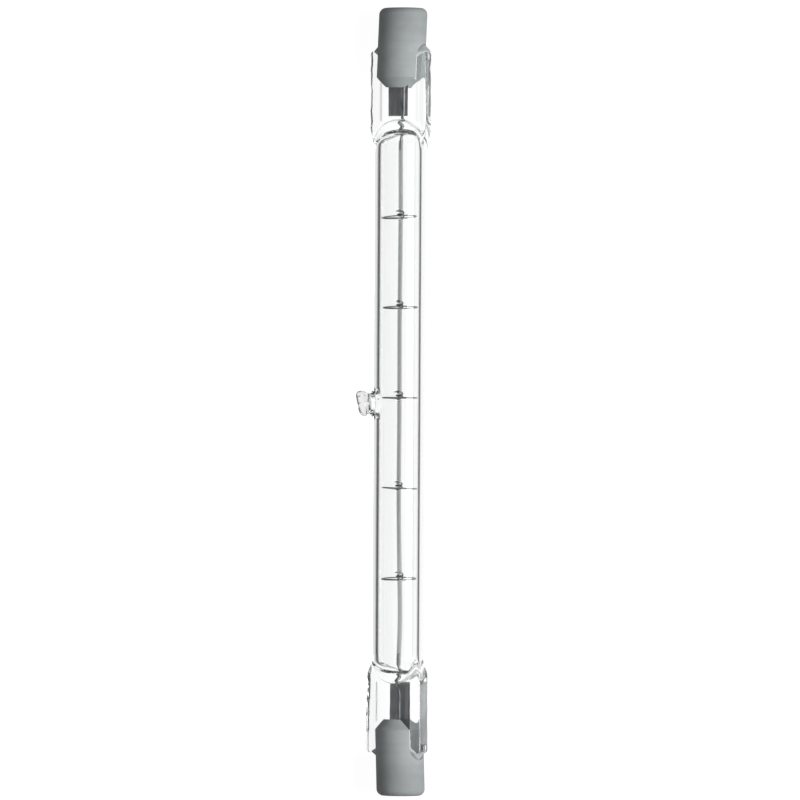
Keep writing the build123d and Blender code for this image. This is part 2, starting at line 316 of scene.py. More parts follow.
def support_path(lean, slant, shift, turn, y):
    """The wire's middle line in polar form round the filament: tail, close turns, arm and ring.

    The angle grows all along the wire. The radius falls over the tail and eases out along the arm.
    The height falls over the close turns, and in the ring it leans and slants by a share of the
    depth and width.
    """
    tail = np.linspace(-TAIL_SWEEP, 0, SUPPORT_STEPS["tail"], endpoint=False)
    grip = np.linspace(0, TURN * GRIP_TURNS, SUPPORT_STEPS["grip"], endpoint=False)
    arm = grip[-1] + np.linspace(0, ARM_SWEEP, SUPPORT_STEPS["arm"])[1:]
    ring = arm[-1] + np.linspace(0, BEND_SWEEP - ARM_SWEEP, SUPPORT_STEPS["ring"])[1:]
    angle = np.concatenate([tail, grip, arm, ring])
    out = eased((angle - arm[0]) / ARM_SWEEP)
    radius = GRIP_RADIUS + (RING_RADIUS - GRIP_RADIUS) * out
    radius += TAIL_REACH * np.clip(-angle / TAIL_SWEEP, 0, 1) ** 2
    in_grip = angle / grip[-1]
    height = GRIP_RISE * (1 - np.clip(in_grip, -1, 1))
    height += GRIP_UNEVEN * np.sin(angle + turn) * (1 - out)
    angle = angle - arm[0] + turn
    across, depth = radius * np.cos(angle), radius * np.sin(angle)
    middle = AXIS_X + filament_bow(y) * (1 - out) + shift * out
    rise = height + out * (lean * depth + slant * across)
    return np.stack([middle + across, y + rise, AXIS_Z + depth], axis=1)


support_wire = metal_finish("support_wire", SUPPORT_TONES, roughness=0.5, size=0.2, stretch=(1, 1, 1))
tree = support_wire.node_tree
# Painted shade: darker close to the coil's axis, where the grip's turns shade each other.
place = object_place(tree)
aside = reckon(tree, "SUBTRACT", place["X"], AXIS_X * MM)
above = reckon(tree, "SUBTRACT", place["Z"], AXIS_Z * MM)
squares = reckon(tree, "ADD", reckon(tree, "POWER", aside, 2.0), reckon(tree, "POWER", above, 2.0))
off_coil = reckon(tree, "POWER", squares, 0.5)
near_coil = share_between(tree, off_coil, GRIP_SHADE_START_RADIUS, GRIP_SHADE_FULL_RADIUS)
shade(support_wire, near_coil, GRIP_SHADE_TONE)
lengthwise = np.array([0, 1, 0])
bends = zip(RING_LEANS, RING_SLANTS, RING_SHIFTS, ARM_TURNS)
for number, (lean, slant, shift, turn) in enumerate(bends, start=1):
    node = f"filament_support_{number}"
    support_low, _ = (np.array(corner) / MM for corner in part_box(node))
    ring_y = support_low[1] + SUPPORT_RADIUS
    path = support_path(lean, slant, shift, turn, ring_y)
    rings = wire_rings(path, SUPPORT_RADIUS, SUPPORT_RADIUS, SUPPORT_SIDES, lengthwise)
    make_piece(f"support_wire_{number}", [closed_shell(rings)], node, support_wire)

# The lead wires: one from the end of the coil into each seal, kinked where the hot quartz closed on
# it, and one from the seal to the contact. Both are flattened where they are welded to the foil.
ENDS = {"upper": (np.radians(22), 1), "lower": (np.radians(36), -1)}
CAP_SHIFTS = {"upper": 0.12, "lower": 0.42}
CAP_LEANS = {"upper": 0.042, "lower": 0.034}
CAP_PIVOT = 54.0
LEAD_RADIUS = 0.225
LEAD_SIDES = 12
LEAD_ROWS = {"inner": 160, "outer": 60}
LEAD_TONES = ((0.17, 0.175, 0.185), (0.36, 0.37, 0.38))
FLAT_HEIGHT = 0.16
FLAT_WIDTH = 0.36
FLAT_RISE = 0.8
FLAT_FALL = 0.4
FLAT_AT_END = 0.5
LEAD_JOG = 0.4
KINK = 0.3
KINK_DEPTH = 0.7
KINK_START = 39.9
KINK_END = 42.6
KINK_WAVES = 1.6
KINK_PHASE = 0.6
BULGES = {"upper": 0.0, "lower": -0.5}
BULGE_BELL = (42.3, 0.65)
INNER_WELD_START = 42.4
INNER_WELD_END = 47.4
SPIGOT_END = 37.6
OUTER_WELD_START = 48.9
OUTER_WELD_END = 51.3
SHANK_END = 53.9


def seal_place(end, across, back, along):
    """Points near a seal: to the right across its width, back from its middle, along the lamp."""
    slope, side = ENDS[end]
    across, back, along = np.broadcast_arrays(across, back, along)
    x = AXIS_X + across * np.cos(slope) + back * np.sin(slope)
    z = AXIS_Z + across * np.sin(slope) - back * np.cos(slope)
    return np.stack([x, side * along, z], axis=-1)


def lead_shell(end, across, back, along, weld_start, weld_end):
    """A lead wire along a path beside the foil, with an oval section between the ends of its weld."""
    flat = eased((along - weld_start) / FLAT_RISE)
    flat *= eased((weld_end - along) / FLAT_FALL + FLAT_AT_END)
    width = LEAD_RADIUS + (FLAT_WIDTH - LEAD_RADIUS) * flat
    height = LEAD_RADIUS + (FLAT_HEIGHT - LEAD_RADIUS) * flat
    slope, side = ENDS[end]
    hint = np.array([np.cos(slope), 0, np.sin(slope)])
    path = seal_place(end, across, back, along)
    path[:, 0] += filament_bow(side * along)
    return closed_shell(wire_rings(path, width, height, LEAD_SIDES, hint))


lead_metal = metal_finish("lead_wire", LEAD_TONES, roughness=0.4, size=0.25, stretch=(1, 6, 1))
for end in ENDS:
    along = np.linspace(SPIGOT_END, INNER_WELD_END, LEAD_ROWS["inner"])
    in_kink = np.clip((along - KINK_START) / (KINK_END - KINK_START), 0, 1)
    waving = TURN * KINK_WAVES * in_kink
    kink = KINK * np.sin(np.pi * in_kink) * np.sin(waving + KINK_PHASE)
    bulge = BULGES[end] * bell(along, *BULGE_BELL)
    across = LEAD_JOG * eased(in_kink) + kink + bulge
    back = KINK_DEPTH * KINK * np.sin(np.pi * in_kink) * np.cos(waving)
    inner = lead_shell(end, across, back, along, INNER_WELD_START, INNER_WELD_END)
    make_piece(f"{end}_lead_in", [inner], f"{end}_inner_lead", lead_metal)
    along = np.linspace(OUTER_WELD_START, SHANK_END, LEAD_ROWS["outer"])
    outer = lead_shell(end, CAP_SHIFTS[end], 0, along, OUTER_WELD_START, OUTER_WELD_END)
    make_piece(f"{end}_lead_out", [outer], f"{end}_outer_lead", lead_metal)

# The sealing foils: strips of thin molybdenum, etched to a feather edge on both long sides, so
# that the quartz presses gas-tight onto them. One lies near the middle of each seal.
FOIL_WIDTHS = {"upper": 3.1, "lower": 3.75}
FOIL_SHIFTS = {"upper": -0.37, "lower": 0.64}
FOIL_THICKNESS = 0.05
FOIL_BACK = 0.2
FOIL_STARTS = {"upper": 42.65, "lower": 41.8}
FOIL_END = 51.3
RIPPLE = 0.012
RIPPLE_ALONG = 2.6
RIPPLE_ACROSS = 1.7
FOIL_COLUMNS = 48
FOIL_ROWS = 40
# Painted light and shade: the foil tones are raised, and each foil's front half is darkened, so its back
# shows lighter.
FOIL_TONES = ((0.60, 0.62, 0.64), (0.84, 0.86, 0.875))
FOIL_FRONT_SHADE_TONE = 0.5


def foil_rings(end):
    """Flat ovals along the seal: half width * cos(a) across and half thickness * sin(a) back."""
    angle = round_steps(FOIL_COLUMNS)[None, :]
    along = np.linspace(FOIL_STARTS[end], FOIL_END, FOIL_ROWS)[:, None]
    across = FOIL_SHIFTS[end] + FOIL_WIDTHS[end] / 2 * np.cos(angle)
    ripple = RIPPLE * np.sin(along * RIPPLE_ALONG + across * RIPPLE_ACROSS)
    back = FOIL_BACK + FOIL_THICKNESS / 2 * np.sin(angle) + ripple
    return seal_place(end, across, back, along)


foil_metal = metal_finish("foil", FOIL_TONES, roughness=0.42, size=0.5, stretch=(1, 12, 1))
# Painted light and shade: each foil's front is darkened, so its back shows lighter through the quartz.
front = add_node(foil_metal.node_tree, "Attribute", {"attribute_name": "front"}).outputs["Fac"]
shade(foil_metal, front, FOIL_FRONT_SHADE_TONE)
front_half = np.sin(round_steps(FOIL_COLUMNS)) < 0
on_front = np.append(np.tile(front_half, FOIL_ROWS), [True, True]).astype(float)
for end in ENDS:
    foil_shell = closed_shell(foil_rings(end))
    foil = make_piece(f"{end}_sealing_foil", [foil_shell], f"{end}_foil", foil_metal)
    foil.data.attributes.new("front", "FLOAT", "POINT").data.foreach_set("value", on_front)

# The envelope: one tube of clear fused quartz. Its ends were heated and pressed flat round the
# foils, and the side tube that it was pumped out and filled through was melted off to a button.
# Painted shade draws dark lines on its walls, standing in for edges that refraction shows dark.
TUBE_RADIUS = 4.0
TUBE_RUN = (5.0, 34.0)
SHOULDER_START = 34.5
DOME_START = 38.1
COLUMNS = 168
ROWS = {"tube": 14, "shoulder": 12, "dome": 44, "seal": 60, "end": 8}
LEFT_REACHES = {"upper": (4.6, 4.6), "lower": (5.02, 5.4)}
RIGHT_REACHES = {"upper": (4.4, 4.4), "lower": (4.72, 4.81)}
SPREAD_START = 41.0
SPREAD_RUN = 9.0
SEAL_THICKNESS = 2.7
SEAL_START = 37.7
SEAL_TAPER = 3.2
START_HALF_WIDTH = 3.7
SEAL_SINK = 2.2
SINK_RUN = 1.4
SINK_THINNING = 0.3
SEAL_FIRST_ROW = 0.1
SEAL_END = 52.5
SEAL_END_ROUND = 0.7
SEAL_END_ANGLE = 0.15
SEAL_SQUARENESS = {"upper": (7.0, 14.0), "lower": (7.0, 7.0)}
OUTLINE_STEPS = 8001
CORNER_COLUMNS = 0.6
SEAL_FACE_START = 0.6
SEAL_LEAST_SINE = 0.3
SEAL_HOLLOW = 0.2
RIB_INSIDE = 2.5
RIB_RISE = 0.9
SEAL_WAVE = 0.025
SEAL_WAVE_PACES = (1.3, 0.7)
SEAL_FLASH = 0.035
FLASH_WAVES = ((1.0, 1.3, 1.5, 0.0), (0.7, 2.9, 0.0, 2.0), (0.5, 5.1, 0.0, 0.0))
FLASH_NARROWNESS = 8
FLASH_RIGHT_SHARE = 0.2
PRESS_START = 36.5
PRESS_RUN = 4.0
SHOULDER_BLEND = 0.5
TINY = 1e-6
BORE_RADIUS = 2.97
BORE_OFFSET = -0.08
BORE_END = 40.3
BORE_CROWNS = {"upper": 2.1, "lower": 1.7}
BORE_SQUARENESS = {"upper": 2.3, "lower": 2.8}
BORE_TILTS = {"upper": 0.3, "lower": 0.45}
BORE_TILT_RUN = 4.0
BORE_COLUMNS = 112
BORE_ROWS = {"tube": 16, "crown": 40}
BORE_POLE_GAP = 0.0008
TIP_Y = -0.3
TIP_HALF_SPAN = 3.2
TIP_ROWS = 21
TIP_HALF_ANGLE = np.radians(44)
TIP_EASES = (0.3, 0.55, 0.8, 1.0)
TIP_BEND_ROWS = 11
TIP_FLARE = 2.35
TIP_NECK = 1.55
TIP_NECK_END = 4.82
KNOB_RADIUS = 1.9
KNOB_MIDDLE = 5.45
KNOB_HALF = 0.97
KNOB_SQUARENESS = 2.5
KNOB_DEGREES = (-36, 88)
KNOB_ROWS = 22
TIP_LUMP = 0.025
TIP_DIMPLE = 0.45
TIP_DIMPLE_RADIUS = 1.2
TIP_LEAN = np.radians(11)
TIP_BORE_FLARE = 2.0
TIP_BORE_RADIUS = 1.3
TIP_BORE_START = 3.6
TIP_BORE_END = 4.95
TIP_BORE_ROWS = 14
TIP_BORE_POLE = 0.01
TIP_BUBBLES = (
    (5.25, 1.0, 0.5, 0.10), (5.75, 0.1, 0.6, 0.12), (5.2, 0.3, -0.4, 0.13), (5.8, 0.9, 0.2, 0.09),
)
BUBBLE_POLE_GAP = 0.15
BUBBLE_ROWS = 9
BUBBLE_COLUMNS = 14
# Painted shade on the tip: a ring, strokes, a throat ring and lip strokes of dark lines in the quartz.
TIP_RING_BELL = (6.2, 0.15)
TIP_BREAK_BELL = (-0.37, 0.15)
TIP_RING_SHADE = 0.8
TIP_EDGE_START = 5.1
TIP_EDGE_FADE = 0.5
TIP_EDGE_SHADE = 0.55
TIP_THROAT_BELL = (3.4, 0.1)
TIP_THROAT_SHADE = 0.4
TIP_STROKE_WIDTH = 0.5
TIP_LIP_REACH = 2.5
TIP_LIP_REACH_FADE = 0.4
TIP_LIP_END = 4.4
TIP_LIP_END_FADE = 0.3
TIP_LIP_DEPTH = 0.1
# Painted shade lines on the seals' fronts, and along the lower seal's left edge.
SEAL_SHADE_LINES = {"upper": -2.75, "lower": -3.05}
SEAL_SHADE_LINE_RUN = (41.6, 48.0)
SEAL_SHADE_LINE_WIDTH = 0.1
SEAL_SHADE_LINE_FRONT = 0.5
SEAL_SHADE_LINE_DARKNESS = 0.6
SIDE_EDGE_SHADE_RUN = (40.2, 47.2)
SIDE_EDGE_SHADE_FRONT = 0.8
SIDE_EDGE_SHADE_WIDTH = 0.45
SIDE_EDGE_SHADE_DARKNESS = 0.9
MARK_FADE = 0.5
QUARTZ_IOR = 1.458
QUARTZ_TONES = ((0.965, 0.975, 0.972), (0.99, 0.995, 0.992))
DRAW_LINE_DEPTH = 0.004
CLEAR_TONE = (0.96, 0.965, 0.963, 1)
TRAPPED_DEPTH = 4.5
# The colour of the painted shade lines on the quartz.
EDGE_SHADE_TONE = (0.02, 0.02, 0.022, 1)


def seal_outline(end, angle, half_width, half_thickness):
    """Distance from the middle to the seal's outline: a superellipse, hollow between its two ribs.

    The plain distance is (|cos / half width|^n + |sin / half thickness|^n)^(-1/n), with a power n for
    each edge. The front face sinks by SEAL_HOLLOW, easing back to the ribs near the edges.
    """
    left, right = SEAL_SQUARENESS[end]
    power = np.where(np.cos(angle) < 0, left, right)
    wide = np.abs(np.cos(angle)) / half_width
    high = np.abs(np.sin(angle)) / half_thickness
    plain = (wide**power + high**power) ** (-1 / power)
    across = plain * np.abs(np.cos(angle))
    front_share = plain * np.sin(angle) / half_thickness
    on_face = eased((front_share - SEAL_FACE_START) / (1 - SEAL_FACE_START))
    sunk = SEAL_HOLLOW * (1 - eased((across - RIB_INSIDE) / RIB_RISE))
    return plain - on_face * sunk / np.maximum(np.abs(np.sin(angle)), SEAL_LEAST_SINE)


def even_angles(end, columns, half_width, half_thickness):
    """Maps even steps round the axis to angles along the seal's outline, closer where it turns.

    The steps are even in the outline's length plus a share of the angle that it has turned through.
    """
    fine = np.linspace(-np.pi, np.pi, OUTLINE_STEPS)
    reach = seal_outline(end, fine, half_width, half_thickness)
    x, y = np.diff(reach * np.cos(fine)), np.diff(reach * np.sin(fine))
    heading = np.unwrap(np.arctan2(y, x))
    turned = np.abs(np.diff(heading, prepend=heading[0]))
    length = np.concatenate([[0], np.cumsum(np.hypot(x, y) + CORNER_COLUMNS * turned)])
    return np.interp(columns, length / length[-1] * TURN - np.pi, fine)


def envelope_rows():
    """Heights from the middle to a seal's end: even on the tube, close on the shoulder and the end."""
    tube = np.linspace(*TUBE_RUN, ROWS["tube"])
    shoulder = np.linspace(SHOULDER_START, DOME_START, ROWS["shoulder"], endpoint=False)
    dome = DOME_START + TUBE_RADIUS * np.sin(np.linspace(0, np.pi / 2, ROWS["dome"]))
    seal = np.linspace(dome[-1] + SEAL_FIRST_ROW, SEAL_END - SEAL_END_ROUND, ROWS["seal"])
    bend = np.linspace(SEAL_END_ANGLE, np.pi / 2, ROWS["end"])
    rounding = SEAL_END - SEAL_END_ROUND * (1 - np.sin(bend))
    return np.concatenate([tube, shoulder, dome, seal, rounding])


def envelope_end(end, along, grow=0.0):
    """The outer surface over a run of heights along one end, as rings.

    Each ring's radius is a smooth maximum of the tube with its half-ball end and the seal, which
    widens over its taper and rounds off at its end. A slow wave roughens the pressed faces, and an
    uneven flash the edges. The seal may lean aside, and the surface may be grown by a little.
    """
    slope, side = ENDS[end]
    along = along[:, None]
    from_slope = (round_steps(COLUMNS)[None, :] - slope + np.pi) % TURN - np.pi
    in_seal = np.clip((along - SPREAD_START) / SPREAD_RUN, 0, 1)
    reaches = (LEFT_REACHES[end], RIGHT_REACHES[end])
    left, right = (first + (last - first) * in_seal for first, last in reaches)
    half_width = (left + right) / 2
    pressed = eased((along - PRESS_START) / PRESS_RUN)
    spread = even_angles(end, from_slope, half_width[0], SEAL_THICKNESS / 2)
    spread = np.arctan2(np.sin(spread), np.cos(spread) * half_width / half_width[0])
    angle = from_slope + pressed * (spread - from_slope)

    into_end = np.clip(along - (SEAL_END - SEAL_END_ROUND), 0, SEAL_END_ROUND)
    trim = SEAL_END_ROUND - np.sqrt(SEAL_END_ROUND**2 - into_end**2)
    taper = eased((along - SEAL_START) / SEAL_TAPER)
    sink = SEAL_SINK * np.clip(SEAL_START - along, 0, SINK_RUN)
    wide = START_HALF_WIDTH + (half_width - START_HALF_WIDTH) * taper - trim - sink
    thick = SEAL_THICKNESS / 2 - trim - SINK_THINNING * sink
    seal = seal_outline(end, angle, wide, thick)
    first_wave = SEAL_WAVE_PACES[0] * along + 2 * angle
    second_wave = SEAL_WAVE_PACES[1] * along - 3 * angle + side
    seal += SEAL_WAVE * pressed * np.sin(first_wave) * np.sin(second_wave)
    ragged = sum(
        height * np.sin(pace * along + side_phase * side + phase)
        for height, pace, side_phase, phase in FLASH_WAVES
    )
    uneven = np.where(np.cos(angle) < 0, 1.0, FLASH_RIGHT_SHARE)
    seal += SEAL_FLASH * taper * ragged * np.cos(angle) ** FLASH_NARROWNESS * uneven
    into_dome = np.clip(along - DOME_START, 0, TUBE_RADIUS)
    tube = np.sqrt(TUBE_RADIUS**2 - into_dome**2)
    blend = SHOULDER_BLEND * pressed + TINY
    reach = (tube + seal + np.sqrt((tube - seal) ** 2 + blend**2)) / 2 + grow
    aside = pressed * (right - left) / 2
    return seal_place(end, aside + reach * np.cos(angle), -reach * np.sin(angle), along)


def bore_end(end):
    """The bore's surface from near the middle to its end: a cylinder closed by a flattish crown.

    Over the crown the radius is R cos(a)^(2/n) and the height H sin(a)^(2/n), with a power n. The end
    is tilted: near it the height grows to the right by a share of the place across.
    """
    _, side = ENDS[end]
    bend = np.linspace(0, np.pi / 2 - BORE_POLE_GAP, BORE_ROWS["crown"])
    power = 2 / BORE_SQUARENESS[end]
    straight = np.ones(BORE_ROWS["tube"])
    reach = BORE_RADIUS * np.concatenate([straight, np.cos(bend) ** power])[:, None]
    crown_y = BORE_END - BORE_CROWNS[end] * (1 - np.sin(bend) ** power)
    tube_y = np.linspace(TUBE_RUN[0], crown_y[0], BORE_ROWS["tube"], endpoint=False)
    along = np.concatenate([tube_y, crown_y])[:, None]
    angle = round_steps(BORE_COLUMNS)[None, :]
    across = reach * np.cos(angle)
    tilt = BORE_TILTS[end] * eased((along - BORE_END) / BORE_TILT_RUN + 1)
    x = AXIS_X + BORE_OFFSET + across
    y = side * (along + tilt * across / BORE_RADIUS)
    z = AXIS_Z + reach * np.sin(angle)
    return np.stack(np.broadcast_arrays(x, y, z), axis=-1)


def middle_rings(radius, columns, offset):
    """Plain rings of the tube between its two halves, close together beside the exhaust tip."""
    along = TIP_Y + np.linspace(-TIP_HALF_SPAN, TIP_HALF_SPAN, TIP_ROWS)[:, None]
    angle = round_steps(columns)[None, :]
    x = AXIS_X + offset + radius * np.cos(angle)
    z = AXIS_Z + radius * np.sin(angle)
    return np.stack(np.broadcast_arrays(x, along, z), axis=-1)


def tip_rings(border, wall, offset, flare, neck, reach, rise):
    """Rings of a stub that leaves the tube's wall sideways, one column for each point of a border.

    The first rings ease the border into a circle of the flare's radius on the wall. A quarter circle
    then turns from the wall into the neck. The last rings follow a profile of radius and rise from
    the tube's axis, which comes to lean over its first half and is a little lumpy.
    """
    along, depth = border[:, 1] - TIP_Y, border[:, 2] - AXIS_Z
    angle = np.arctan2(depth, along)[None, :]
    ease = np.array(TIP_EASES)[:, None]
    first_along = (1 - ease) * along + ease * flare * np.cos(angle)
    first_depth = (1 - ease) * depth + ease * flare * np.sin(angle)
    first_rise = np.sqrt(wall**2 - first_depth**2) - offset

    bend = np.linspace(0, np.pi / 2, TIP_BEND_ROWS)[1:, None]
    bend_radius = neck + (flare - neck) * (1 - np.sin(bend))
    bend_along, bend_depth = bend_radius * np.cos(angle), bend_radius * np.sin(angle)
    bend_rise = np.sqrt(wall**2 - bend_depth**2) - offset + (flare - neck) * (1 - np.cos(bend))

    later = np.linspace(0, 1, len(reach))[:, None]
    lumps = 1 + TIP_LUMP * later * np.sin(3 * angle + 1)
    last_along = reach[:, None] * np.cos(angle) * lumps
    last_depth = reach[:, None] * np.sin(angle) * lumps
    lean = np.tan(TIP_LEAN) * eased(2 * later)
    last_rise = rise[:, None] + lean * last_along

    along = np.concatenate([first_along, bend_along, last_along]) + TIP_Y
    depth = np.concatenate([first_depth, bend_depth, last_depth]) + AXIS_Z
    rise = np.concatenate([first_rise, bend_rise, last_rise])
    return np.stack([AXIS_X - rise, along, depth], axis=-1)


def tube_shell(rings, wall, offset, flare, neck, reach, rise):
    """A tube of rings with a stub: the grid without the squares under the stub, and the stub itself."""
    rows, columns, _ = rings.shape
    near_tip = np.abs(rings[:, 0, 1] - TIP_Y) < TIP_HALF_SPAN + TINY
    tip_rows = np.flatnonzero(near_tip)[2:-2]
    half_columns = round(TIP_HALF_ANGLE / TURN * columns)
    tip_columns = columns // 2 + np.arange(-half_columns, half_columns + 1)

    points, faces = closed_shell(rings)
    square_row, square_column = np.divmod(np.arange((rows - 1) * columns), columns)
    in_rows = (square_row >= tip_rows[0]) & (square_row < tip_rows[-1])
    in_columns = (square_column >= tip_columns[0]) & (square_column < tip_columns[-1])
    faces[0] = faces[0][~(in_rows & in_columns)]

    border = np.concatenate([
        tip_rows[0] * columns + tip_columns[:-1],
        tip_rows[:-1] * columns + tip_columns[-1],
        tip_rows[-1] * columns + tip_columns[:0:-1],
        tip_rows[:0:-1] * columns + tip_columns[0],
    ])
    stub = tip_rings(points[border], wall, offset, flare, neck, reach, rise)
    stub_rows, stub_columns, _ = stub.shape
    first = len(points)
    pole = first + stub_rows * stub_columns
    join = np.concatenate([border, first + np.arange(stub_columns)])
    faces.append(join[strip_faces(2, stub_columns)])
    faces.append(strip_faces(stub_rows, stub_columns, first))
    faces.append(fan_faces(np.arange(pole - stub_columns, pole)[::-1], pole))
    points = np.concatenate([points, stub.reshape(-1, 3), stub[-1].mean(axis=0)[None]])
    used = np.unique(np.concatenate([indices.ravel() for indices in faces]))
    renumber = np.zeros(len(points), int)
    renumber[used] = np.arange(len(used))
    return points[used], [renumber[indices] for indices in faces]


def bubble_shell(rise, along, depth, radius):
    """A small ball in the button: circles of radius * sin(t) at radius * cos(t) from its middle."""
    polar = np.linspace(BUBBLE_POLE_GAP, np.pi - BUBBLE_POLE_GAP, BUBBLE_ROWS)[:, None]
    angle = round_steps(BUBBLE_COLUMNS)[None, :]
    x = AXIS_X - rise + radius * np.cos(polar)
    y = TIP_Y + along + radius * np.sin(polar) * np.cos(angle)
    z = AXIS_Z + depth + radius * np.sin(polar) * np.sin(angle)
    return closed_shell(np.stack(np.broadcast_arrays(x, y, z), axis=-1))


def painted_wall_shade(outer_points, inner_points):
    """How dark the painted shade is at each point of both walls, 0 to 1: bell curves, eased or cut.

    On the outer wall it is a ring round the button's end, with one break, a stroke on each edge of
    the button, and the seals' shade lines. On the inner wall it is a ring in the throat of the tip's
    bore and a stroke on each side of its lip. Each stands in for a dark edge that refraction shows.
    """
    rise, along = AXIS_X - outer_points[:, 0], outer_points[:, 1] - TIP_Y
    ring = bell(rise - np.tan(TIP_LEAN) * along, *TIP_RING_BELL)
    ring *= (1 - bell(along, *TIP_BREAK_BELL)) * (rise > TIP_NECK_END)
    edge = bell(outer_points[:, 2], AXIS_Z, TIP_STROKE_WIDTH)
    edge *= eased((rise - TIP_EDGE_START) / TIP_EDGE_FADE) * (np.abs(along) > TIP_NECK)
    outer = np.maximum(TIP_RING_SHADE * ring, TIP_EDGE_SHADE * edge)
    rise, along = AXIS_X - inner_points[:, 0], inner_points[:, 1] - TIP_Y
    throat = TIP_THROAT_SHADE * bell(rise, *TIP_THROAT_BELL)
    lip = bell(inner_points[:, 2], AXIS_Z, TIP_STROKE_WIDTH)
    lip *= eased((TIP_LIP_REACH - np.abs(along)) / TIP_LIP_REACH_FADE)
    lip *= eased((TIP_LIP_END - rise) / TIP_LIP_END_FADE)
    lip *= rise > BORE_RADIUS - BORE_OFFSET - TIP_LIP_DEPTH
    return np.concatenate([outer + seal_shade_lines(outer_points), np.maximum(throat, lip)])


def fading_run(along, run):
    """A share that is 1 along a run and falls to 0 over a short way inside its ends."""
    start, stop = run
    return eased((along - start) / MARK_FADE) * eased((stop - along) / MARK_FADE)


def seal_shade_lines(outer_points):
    """How dark the painted shade lines are: on each seal's front, and on the lower one's left edge.

    Each mark is a bell curve, of the place across for a line and of the place in front for the edge.
    """
    marks = np.zeros(len(outer_points))
    for end, (slope, side) in ENDS.items():
        aside, above = outer_points[:, 0] - AXIS_X, outer_points[:, 2] - AXIS_Z
        across = aside * np.cos(slope) + above * np.sin(slope)
        front = above * np.cos(slope) - aside * np.sin(slope)
        along = side * outer_points[:, 1]
        line = bell(across, SEAL_SHADE_LINES[end], SEAL_SHADE_LINE_WIDTH) * (front > SEAL_SHADE_LINE_FRONT)
        marks += SEAL_SHADE_LINE_DARKNESS * line * fading_run(along, SEAL_SHADE_LINE_RUN)
        if end == "lower":
            edge = bell(front, SIDE_EDGE_SHADE_FRONT, SIDE_EDGE_SHADE_WIDTH)
            edge *= across < -LEFT_REACHES[end][0] + SIDE_EDGE_SHADE_WIDTH
            marks += SIDE_EDGE_SHADE_DARKNESS * edge * fading_run(along, SIDE_EDGE_SHADE_RUN)
    return marks


knob = np.radians(np.linspace(*KNOB_DEGREES, KNOB_ROWS))
power = 2 / KNOB_SQUARENESS
knob_reach = KNOB_RADIUS * np.cos(knob) ** power
knob_rise = KNOB_MIDDLE + KNOB_HALF * np.sign(knob) * np.abs(np.sin(knob)) ** power
knob_rise -= TIP_DIMPLE * eased(1 - knob_reach / TIP_DIMPLE_RADIUS)
tip_reach = np.concatenate([[TIP_NECK], knob_reach])
tip_rise = np.concatenate([[TIP_NECK_END], knob_rise])
ends_y = envelope_rows()
outside = np.concatenate([
    envelope_end("lower", ends_y)[::-1],
    middle_rings(TUBE_RADIUS, COLUMNS, 0),
    envelope_end("upper", ends_y),
])
outer_shell = tube_shell(
    outside, TUBE_RADIUS, 0, TIP_FLARE, TIP_NECK, tip_reach, tip_rise
)

narrowing = np.linspace(0, 1, TIP_BORE_ROWS)
pit_reach = TIP_BORE_RADIUS * np.sqrt(1 - narrowing**3) + TIP_BORE_POLE
pit_rise = TIP_BORE_START + (TIP_BORE_END - TIP_BORE_START) * narrowing
inside = np.concatenate([
    bore_end("lower")[::-1],
    middle_rings(BORE_RADIUS, BORE_COLUMNS, BORE_OFFSET),
    bore_end("upper"),
])
inner_shell = tube_shell(
    inside, BORE_RADIUS, BORE_OFFSET, TIP_BORE_FLARE, TIP_BORE_RADIUS, pit_reach, pit_rise
)
bubbles = [bubble_shell(*bubble) for bubble in TIP_BUBBLES]

quartz, tree, shader = new_finish("clear_quartz")
draw_lines = grain(tree, size=1.2, stretch=(1, 14, 1), detail=2.0)
tint = two_tone(tree, draw_lines, QUARTZ_TONES)
set_inputs(tree, shader, {"Base_Color": tint, "Normal": relief(tree, draw_lines, DRAW_LINE_DEPTH)})
set_inputs(tree, shader, {"Transmission_Weight": 1.0, "Roughness": 0.0, "IOR": QUARTZ_IOR})
# Painted shade: a dark diffuse shader takes the quartz's place where the painted-shade attribute is
# high.
shade_paint = add_node(tree, "BsdfDiffuse", Color=EDGE_SHADE_TONE)
edge_shaded = add_node(tree, "MixShader")
edge_shade = add_node(tree, "Attribute", {"attribute_name": "edge_shade"}).outputs["Fac"]
set_inputs(tree, edge_shaded, {0: edge_shade, 1: shader.outputs[0], 2: shade_paint.outputs[0]})
ray = add_node(tree, "LightPath").outputs
trapped = reckon(tree, "GREATER_THAN", ray["Ray Depth"], TRAPPED_DEPTH)
passing = reckon(tree, "MAXIMUM", ray["Is Shadow Ray"], ray["Is Diffuse Ray"])
passing = reckon(tree, "MAXIMUM", passing, trapped)
clear = add_node(tree, "BsdfTransparent", Color=CLEAR_TONE)
passes = add_node(tree, "MixShader")
set_inputs(tree, passes, {0: passing, 1: edge_shaded.outputs[0], 2: clear.outputs[0]})
tree.links.new(passes.outputs[0], tree.nodes["Material Output"].inputs["Surface"])
hollows = [inner_shell, *bubbles]
envelope = make_piece("quartz_tube", [outer_shell], "quartz_envelope", quartz, hollows)
# Painted shade on the walls: dark lines standing in for the edges that refraction shows dark.
wall_marks = painted_wall_shade(outer_shell[0], inner_shell[0])
bubble_marks = np.zeros(len(envelope.data.vertices) - len(wall_marks))
marks = np.append(wall_marks, bubble_marks)
envelope.data.attributes.new("edge_shade", "FLOAT", "POINT").data.foreach_set("value", marks)

